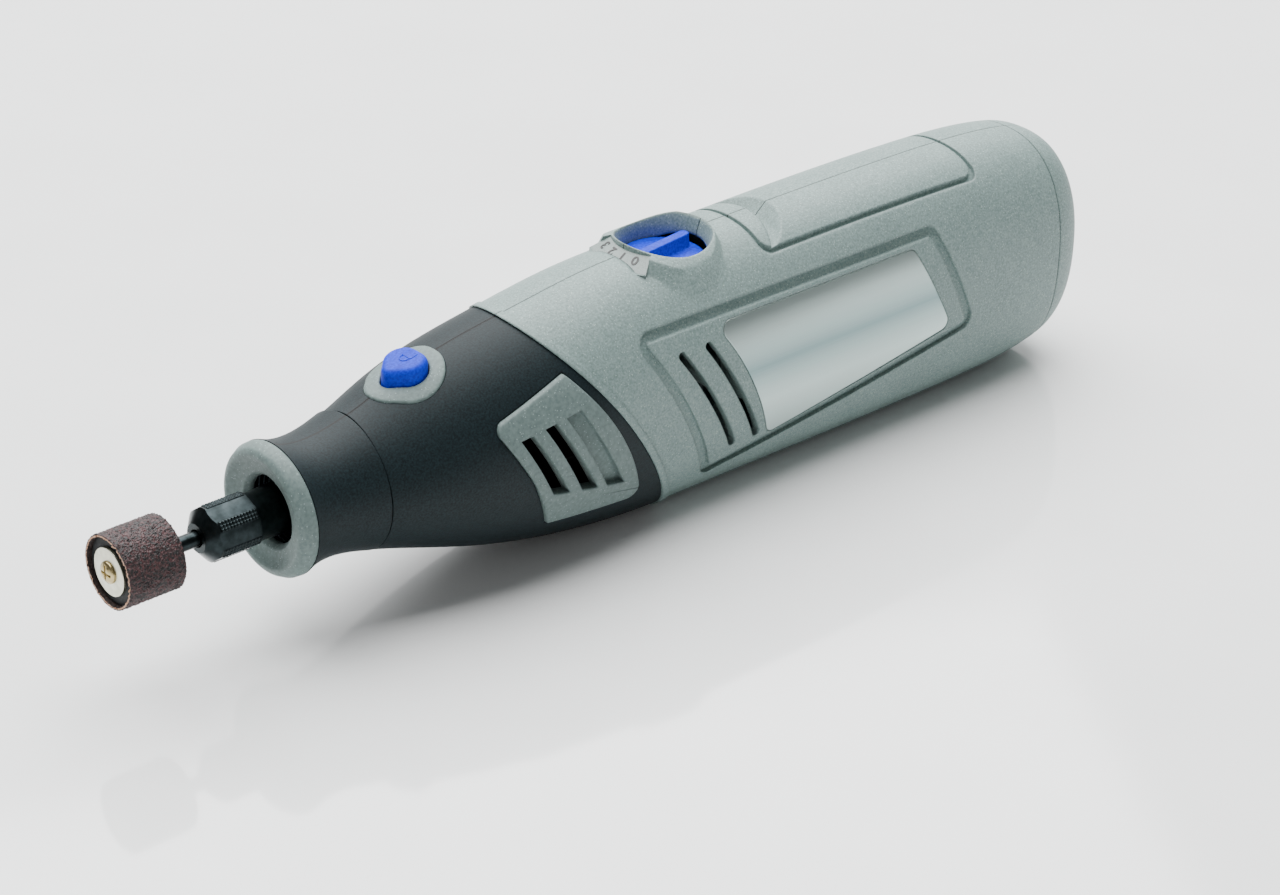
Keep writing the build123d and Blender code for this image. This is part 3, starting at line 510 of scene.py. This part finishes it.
# %% Every node gets its finish
finishes = {
    "body_grey": moulded_abs(),
    "body_charcoal": moulded_nylon(),
    "soft_grey": soft_elastomer(),
    "button_blue": blue_acetal(),
    "label_silver": brushed_label(),
    "plate_grey": satin_plate(),
    "black_oxide": turned_metal("black_oxide_steel", "#1D2324", "#2B3234", 0.3),
    "bright_steel": turned_metal("turned_bright_steel", "#9A9C9E", "#B8BABC", 0.25),
    "zinc_plate": turned_metal("zinc_plated_steel", "#BFBEAC", "#D3D2C0", 0.3, depth=0.003),
    "grit_maroon": grit_band(),
    "black_rubber": moulded_rubber(),
    "bronze": turned_metal("sintered_bronze", "#8A6A3A", "#B08A4E", 0.4),
    # Painted gleam on each turn of wire and painted shade between turns.
    "copper": bands_with_painted_shade("enamelled_copper_wire", "#7A3B1E", "#C8743F",
                     {"Metallic": 1.0, "Roughness": 0.3}, depth=0.1),
    "ferrite": bands_with_painted_shade("ferrite_and_stacked_iron", "#1D1F21", "#3A3D40",
                      {"Metallic": 0.6, "Roughness": 0.55}, depth=0.03),
    "board_green": green_laminate(),
    "cell_wrap": shrink_wrap(),
    "nickel": turned_metal("nickel_strip", "#A5946A", "#BCAC80", 0.26),
    "carbon": black_phenolic(),
}


def dress(piece, finish):
    """Give the piece one finish all over."""
    piece.data.materials.clear()
    piece.data.materials.append(finish)


for node_name, node_object in frame["nodes"].items():
    if not node_object.data.materials:
        node_object.data.materials.append(finishes[slot_of_node[node_name]])
    for material_slot in node_object.material_slots:
        material_slot.material = finishes[slot_of_node[node_name]]
print(len(finishes), "finishes on", len(frame["nodes"]), "nodes")

# %% [markdown]
# A moulded shell looks right only if its curves shade smoothly and its edges stay crisp. The
# frame's meshes are loose triangles, so each visible shell gets a merged copy, shaded smooth up
# to an angle. The soft trim and a few small parts also get their edges rounded.

# %% Smooth skins for the visible pieces
SMOOTH_UNDER = 32.0  # degrees between two faces that still read as one curve
FLAT_UNDER = 1.5  # degrees between two faces that may be joined into one
ROUND_OVER = 40.0  # degrees between two faces that meet at an edge to be rounded
SAME_POINT = 0.002  # mm between two corners that are one


def smooth_skin(node, edge):
    """A merged, smooth-shaded copy that stands for a node, its edges rounded by so many mm."""
    skin = own_copy(frame["nodes"][node], f"{node}_skin")
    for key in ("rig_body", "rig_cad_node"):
        if key in skin:
            del skin[key]
    skin.parent = None
    only(skin)
    bpy.ops.mesh.customdata_custom_splitnormals_clear()
    bpy.ops.object.mode_set(mode="EDIT")
    bpy.ops.mesh.select_all(action="SELECT")
    bpy.ops.mesh.remove_doubles(threshold=SAME_POINT * MM)
    if edge:
        bpy.ops.mesh.dissolve_limited(angle_limit=radians(FLAT_UNDER))
    bpy.ops.object.mode_set(mode="OBJECT")
    if edge:
        apply_modifier(skin, "BEVEL", {
            "width": edge * MM,
            "segments": 3,
            "use_clamp_overlap": False,
            "angle_limit": radians(ROUND_OVER),
        })
    bpy.ops.object.shade_smooth_by_angle(angle=radians(SMOOTH_UNDER))
    dress(skin, finishes[slot_of_node[node]])
    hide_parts(node)
    fit(skin, body_of_node[node], slot_of_node[node])


slot_of_node["drum_screw"] = "nickel"  # the screw's plating is yellower than the washer's
edge_of_shell = {
    "front_housing_left": 0, "front_housing_right": 0,
    "rear_housing_left": 0, "rear_housing_right": 0,
    "battery_cap": 0, "battery_case": 0,
    "nose_cap": 0, "nose_ring": 0.4,
    "lock_surround": 0.2, "lock_button": 0,
    "speed_dial": 0.2, "number_plate": 0,
    "label_plate_left": 0, "label_plate_right": 0,
    "vent_grille_left": 0.25, "vent_grille_right": 0.25,
    "collet_nut": 0, "mandrel": 0,
    "rubber_drum": 0.3, "drum_washer": 0.1, "drum_screw": 0.1,
}
for shell, edge_width in edge_of_shell.items():
    smooth_skin(shell, edge_width)
print(len(edge_of_shell), "skins")

# %% [markdown]
# The grit is modelled: a fine tube is pushed in and out by noise, so that the band's outline is
# rough too. One ring of faces becomes many by subdividing its lengthwise edges, and a solidify
# modifier gives it the card's thickness.

# %% Sanding band with real grit
BAND_RADIUS = (band_high.z - band_low.z) / 2
BAND_LENGTH = band_high.x - band_low.x
BAND_INNER = 6.95  # mm from the spindle to the card's inner wall
GRIT_MARGIN = 0.08  # mm kept free under the band's radius, for the grains to stand up in
END_MARGIN = 0.2  # mm by which the tube is shorter than the band
GRAINS_AROUND = 300
GRAINS_ALONG = 70
GRIT_LUMP = 0.5  # mm across one lump of the noise
GRIT_RELIEF = 0.42  # mm from the deepest hollow to the highest grain

deselect()
bpy.ops.mesh.primitive_cylinder_add(
    vertices=GRAINS_AROUND,
    radius=BAND_RADIUS - GRIT_MARGIN * MM,
    depth=BAND_LENGTH - END_MARGIN * MM,
    end_fill_type="NOTHING",
    location=(band_low.x + BAND_LENGTH / 2, 0, DRUM_FRONT.z),
    rotation=(0, pi / 2, 0),
)
grit = named("sanding_band_grit")
settle(grit)
bpy.ops.object.mode_set(mode="EDIT")
bpy.ops.mesh.select_mode(type="EDGE")
bpy.ops.mesh.select_all(action="DESELECT")
bpy.ops.object.mode_set(mode="OBJECT")
for edge in grit.data.edges:
    start, end = (grit.data.vertices[i].co for i in edge.vertices)
    edge.select = abs(end.x - start.x) > BAND_LENGTH / 2
bpy.ops.object.mode_set(mode="EDIT")
bpy.ops.mesh.subdivide(number_cuts=GRAINS_ALONG)
bpy.ops.mesh.select_all(action="SELECT")
bpy.ops.mesh.normals_make_consistent(inside=False)
bpy.ops.object.mode_set(mode="OBJECT")
grain_noise = bpy.data.textures.new("grit_grains", "CLOUDS")
grain_noise.noise_scale = GRIT_LUMP * MM
grain_noise.noise_type = "HARD_NOISE"
apply_modifier(grit, "DISPLACE", {
    "texture": grain_noise,
    "strength": GRIT_RELIEF * MM,
    "mid_level": 0.45,
    "texture_coords": "LOCAL",
})
apply_modifier(grit, "SOLIDIFY", {
    "thickness": BAND_RADIUS - BAND_INNER * MM - GRIT_MARGIN * MM,
    "offset": -1.0,
})
dress(grit, finishes["grit_maroon"])
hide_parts("sanding_band")
fit(grit, "spindle", "grit_maroon")
print("grit faces", len(grit.data.polygons))

# %% [markdown]
# The collet nut is held by its flats and tightened by hand on the round strips between them,
# which are knurled. A strip is a grid whose faces are poked and whose middles are pulled out into
# points. It is made once, and its copies are turned to their places round the spindle.

# %% Knurled strips of the collet nut
NUT_FLATS = 6
FIRST_STRIP = 22.0  # degrees from +Y to the first strip, half way between two flats
KNURL_RADIUS = 5.6  # mm, as are the sizes below
KNURL_LENGTH = 8.6
KNURL_WIDTH = 2.1
KNURL_MIDDLE = 26.9  # mm behind the drum's face
POINTS_ALONG = 12
POINTS_ACROSS = 3
POINT_HEIGHT = 0.26
STRIP_WALL = 0.3

deselect()
bpy.ops.mesh.primitive_grid_add(x_subdivisions=POINTS_ALONG, y_subdivisions=POINTS_ACROSS, size=1.0)
first_strip = named("knurl_strip")
first_strip.scale = (KNURL_LENGTH * MM, KNURL_WIDTH * MM, 1.0)
settle(first_strip)
bpy.ops.object.mode_set(mode="EDIT")
bpy.ops.mesh.select_mode(type="VERT")
bpy.ops.mesh.select_all(action="SELECT")
bpy.ops.mesh.poke(offset=POINT_HEIGHT * MM)
bpy.ops.object.mode_set(mode="OBJECT")
apply_modifier(first_strip, "SOLIDIFY", {"thickness": STRIP_WALL * MM, "offset": -1.0})
dress(first_strip, finishes["black_oxide"])

for index in range(NUT_FLATS):
    angle = FIRST_STRIP + 360 / NUT_FLATS * index
    outward = Vector((0, cos(radians(angle)), sin(radians(angle))))
    strip = own_copy(first_strip, f"knurl_strip_{round(angle)}")
    spot = at(KNURL_MIDDLE, 0, 0) + outward * KNURL_RADIUS * MM
    strip.matrix_world = facing(Vector((1, 0, 0)), outward, spot)
    settle(strip)
    fit(strip, "spindle", "black_oxide")
bpy.data.objects.remove(first_strip)
print(NUT_FLATS, "knurled strips")

# %% [markdown]
# The dial's numbers are printed on the plate in front of it, which slopes down to the nose, and
# they read from the tail. Each is a text object made into a thin mesh and then laid on the plate,
# turned about the dial's axis so that the four stand in an arc.

# %% Numbers on the plate
dial_axis = Vector(next(j["pos_m"] for j in frame["joints"] if j["name"] == "dial_turn"))
PLATE_SLOPE = radians(28.6)
DIGIT_REACH = 12.3  # mm from the dial's axis
DIGIT_HEIGHT = 28.06  # mm over the spindle
DIGIT_SIZE = 3.0  # mm
DIGIT_BOLDNESS = 0.07  # mm by which each stroke is widened
INK_THICKNESS = 0.03  # mm
DIGIT_ANGLES = {"3": 24, "2": 9, "1": -6, "0": -21}  # degrees from the nose side of the dial
ink = printed_ink()


def printed_digit(digit, turn):
    """One digit on the plate, at an angle from the nose side of the dial."""
    deselect()
    bpy.ops.object.text_add()
    text = bpy.context.active_object
    text.data.body = digit
    text.data.size = DIGIT_SIZE * MM
    text.data.offset = DIGIT_BOLDNESS * MM
    text.data.extrude = INK_THICKNESS * MM
    text.data.align_x = "CENTER"
    text.data.align_y = "CENTER"
    bpy.ops.object.convert(target="MESH")
    text = named(f"dial_number_{digit}")
    outward = Vector((-cos(turn), sin(turn), 0))
    along = Vector((sin(turn), cos(turn), 0))
    normal = outward * sin(PLATE_SLOPE) + Vector((0, 0, cos(PLATE_SLOPE)))
    centre = Vector((dial_axis.x, 0, DRUM_FRONT.z + DIGIT_HEIGHT * MM))
    spot = centre + outward * DIGIT_REACH * MM + normal * INK_THICKNESS * MM
    text.matrix_world = facing(along, normal, spot)
    settle(text)
    dress(text, ink)
    fit(text, "root", "plate_grey")


for digit, degrees in DIGIT_ANGLES.items():
    printed_digit(digit, radians(degrees))
print(len(DIGIT_ANGLES), "numbers printed")

# %% [markdown]
# The lock button carries a raised padlock sign. The shackle is a little more than half a torus,
# and the lock's case is a small slab with a sunken face, both lying on the button's leaning top.

# %% Padlock sign on the lock button
BUTTON_LEAN = radians(-12.0)
SIGN_STATION = 70.2  # mm behind the drum's face
SIGN_HEIGHT = 22.18  # mm over the spindle; the sizes below are in mm too
SHACKLE_RADIUS = 1.0
SHACKLE_THICKNESS = 0.16
SHACKLE_END = 0.3  # mm past the shackle's middle, where its legs meet the case
CASE_MIDDLE = 1.35
CASE_SIZE = (2.0, 2.7, 0.3)
CASE_RIM = 0.3
CASE_HOLLOW = 0.16
CASE_EDGE = 0.06


def lay_on_button(piece):
    """Lay a piece made round the origin on the button's top."""
    lean = Matrix.Rotation(BUTTON_LEAN, 4, "Y")
    piece.matrix_world = Matrix.Translation(at(SIGN_STATION, 0, SIGN_HEIGHT)) @ lean
    settle(piece)
    bpy.ops.object.shade_smooth_by_angle(angle=radians(SMOOTH_UNDER))
    dress(piece, finishes["button_blue"])
    fit(piece, "lock_button", "button_blue")


deselect()
bpy.ops.mesh.primitive_torus_add(
    major_segments=40,
    minor_segments=10,
    major_radius=SHACKLE_RADIUS * MM,
    minor_radius=SHACKLE_THICKNESS * MM,
)
shackle = named("padlock_shackle")
bpy.ops.object.mode_set(mode="EDIT")
bpy.ops.mesh.select_all(action="SELECT")
bpy.ops.mesh.bisect(
    plane_co=(SHACKLE_END * MM, 0, 0),
    plane_no=(1, 0, 0),
    clear_outer=True,
    use_fill=True,
)
bpy.ops.object.mode_set(mode="OBJECT")
lay_on_button(shackle)

deselect()
bpy.ops.mesh.primitive_cube_add(size=1.0, location=(CASE_MIDDLE * MM, 0, 0))
case = named("padlock_case")
case.scale = [side * MM for side in CASE_SIZE]
settle(case)
bpy.ops.object.mode_set(mode="EDIT")
bpy.ops.mesh.select_mode(type="FACE")
pick(case, lambda face: face.normal.z > 0.9)
bpy.ops.mesh.inset(thickness=CASE_RIM * MM)
bpy.ops.transform.translate(value=(0, 0, -CASE_HOLLOW * MM))
bpy.ops.mesh.select_all(action="DESELECT")
bpy.ops.object.mode_set(mode="OBJECT")
apply_modifier(case, "BEVEL", {"width": CASE_EDGE * MM, "segments": 2})
lay_on_button(case)
print("padlock sign laid on the button")

# %% [markdown]
# Inside the nose a few turns of thread catch the light. They are drawn as rings round the
# spindle, one made and the rest copied, each copy with its own mesh.

# %% Thread inside the nose
THREAD_TURNS = 4
THREAD_PITCH = 1.25  # mm, as are the sizes below
THREAD_START = 39.6  # mm behind the drum's face
THREAD_RADIUS = 8.6
THREAD_THICKNESS = 0.55

deselect()
bpy.ops.mesh.primitive_torus_add(
    major_segments=96,
    minor_segments=10,
    major_radius=THREAD_RADIUS * MM,
    minor_radius=THREAD_THICKNESS * MM,
    rotation=(0, pi / 2, 0),
)
first_turn = named("nose_thread")
settle(first_turn)
bpy.ops.object.shade_smooth()
dress(first_turn, finishes["black_oxide"])

for turn in range(THREAD_TURNS):
    thread = own_copy(first_turn, f"nose_thread_{turn + 1}")
    thread.location = at(THREAD_START + THREAD_PITCH * turn, 0, 0)
    settle(thread)
    fit(thread, "nose_cap", "black_oxide")
bpy.data.objects.remove(first_turn)
print(THREAD_TURNS, "turns of thread")

# %% [markdown]
# The tool lies on a plain pale sheet that mirrors it faintly. A large soft light hangs overhead,
# a broad one behind draws the bright edge along the back, and a weak one fills the near side.

# %% Floor, lights and camera
FLOOR_SIZE = 12.0  # metres
WORLD_STRENGTH = 0.22
LENS = 98.4  # mm
# The camera's place, the way it looks and its right-hand side give the view of the whole tool.
CAMERA_PLACE = at(-301.4, -480.4, 333.1)
LOOK = Vector((0.58877, 0.65185, -0.47795)).normalized()
CAMERA_RIGHT = Vector((0.7496, -0.66155, 0.02116)).normalized()

deselect()
bpy.ops.mesh.primitive_plane_add(size=FLOOR_SIZE, location=(0, 0, cad_box[0][2]))
floor = named("studio_floor")
dress(floor, grained("pale_acrylic_sheet", ("#F1F3F3", "#F4F6F6"),
                     {"Roughness": 0.08, "IOR": 1.49}, grain=40.0))

world = bpy.data.worlds.new("studio")
world.use_nodes = True
background = world.node_tree.nodes["Background"]
background.inputs["Color"].default_value = hex_colour("#FFFFFF")
background.inputs["Strength"].default_value = WORLD_STRENGTH
bpy.context.scene.world = world


def softbox(name, place, target, size, power):
    """A square area light, its side in metres and its power in watts, that looks at a target."""
    light = bpy.data.lights.new(name, "AREA")
    light.size = size
    light.energy = power
    lamp = bpy.data.objects.new(name, light)
    bpy.context.scene.collection.objects.link(lamp)
    lamp.location = place
    lamp.rotation_euler = (Vector(target) - Vector(place)).to_track_quat("-Z", "Y").to_euler()


softbox("overhead", place=(0.2, 0.6, 1.6), target=(0, 0, 0.03), size=2.2, power=120.0)
softbox("back_edge", place=(0.7, 0.9, 0.6), target=(0, 0, 0.04), size=1.6, power=14.0)
softbox("side_fill", place=(-0.7, -0.5, 0.4), target=(0, 0, 0.03), size=0.5, power=0.6)

camera = bpy.data.objects.new("camera", bpy.data.cameras.new("camera"))
camera.data.sensor_width = 36.0
camera.data.lens = LENS
camera.data.clip_start = 0.01
bpy.context.scene.collection.objects.link(camera)
camera.matrix_world = facing(CAMERA_RIGHT, -LOOK, CAMERA_PLACE)
bpy.context.scene.camera = camera
print("camera", [round(v, 3) for v in camera.matrix_world.translation])
